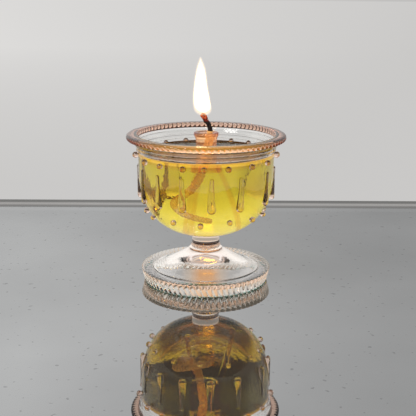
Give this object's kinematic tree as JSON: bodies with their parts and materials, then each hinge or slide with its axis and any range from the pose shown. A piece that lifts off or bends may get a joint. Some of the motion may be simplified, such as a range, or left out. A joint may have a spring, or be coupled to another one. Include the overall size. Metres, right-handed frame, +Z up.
{
  "type": "glass oil lamp",
  "caption": "Footed clear glass oil lamp bowl with ribbed rim and foot, applied glass drops and beads, oil, and a lift-out glass wick holder with a cotton wick and flame.",
  "frame": {"origin": "centre of the circle that the foot stands on, on the ground", "axes": "+Z up along the bowl's axis, -Y towards the viewer of the picture, the wick's tip leans towards -X"},
  "size_m": [0.075, 0.075, 0.1068],
  "materials": {
    "clear_glass": "gloss",
    "holder_glass": "gloss",
    "cotton": "matte",
    "burnt_cotton": "matte",
    "lamp_oil": "gloss",
    "flame_light": "matte"
  },
  "bodies": {
    "lamp": {"bowl": "clear_glass", "rim_rope": "clear_glass", "neck_thread_lower": "clear_glass", "neck_thread_upper": "clear_glass", "upper_beads": "clear_glass", "lower_beads": "clear_glass", "drop_trail_01": "clear_glass", "drop_trail_02": "clear_glass", "drop_trail_03": "clear_glass", "drop_trail_04": "clear_glass", "drop_trail_05": "clear_glass", "drop_trail_06": "clear_glass", "drop_trail_07": "clear_glass", "drop_trail_08": "clear_glass", "drop_trail_09": "clear_glass", "drop_trail_10": "clear_glass", "drop_trail_11": "clear_glass", "drop_trail_12": "clear_glass", "drop_trail_13": "clear_glass", "drop_trail_14": "clear_glass", "stem_collar": "clear_glass", "stem_ring": "clear_glass", "foot_dome": "clear_glass", "foot_rope": "clear_glass", "oil": "lamp_oil"},
    "wick_holder": {"wick_tube": "holder_glass", "holder_leg_1": "holder_glass", "holder_leg_2": "holder_glass", "holder_leg_3": "holder_glass"},
    "wick": {"wick": "cotton", "wick_char": "burnt_cotton", "wick_tail": "cotton", "flame": "flame_light"}
  },
  "joints": [
    {"name": "wick_holder_lift", "type": "slide", "parent": "lamp", "child": "wick_holder", "axis": [0, 0, 1], "range_m": [0, 0.05], "deforming": ["oil"]},
    {"name": "wick_feed", "type": "slide", "parent": "wick_holder", "child": "wick", "axis": [0.1717, 0, 0.9851], "range_m": [0, 0.004], "deforming": ["flame"]}
  ]
}
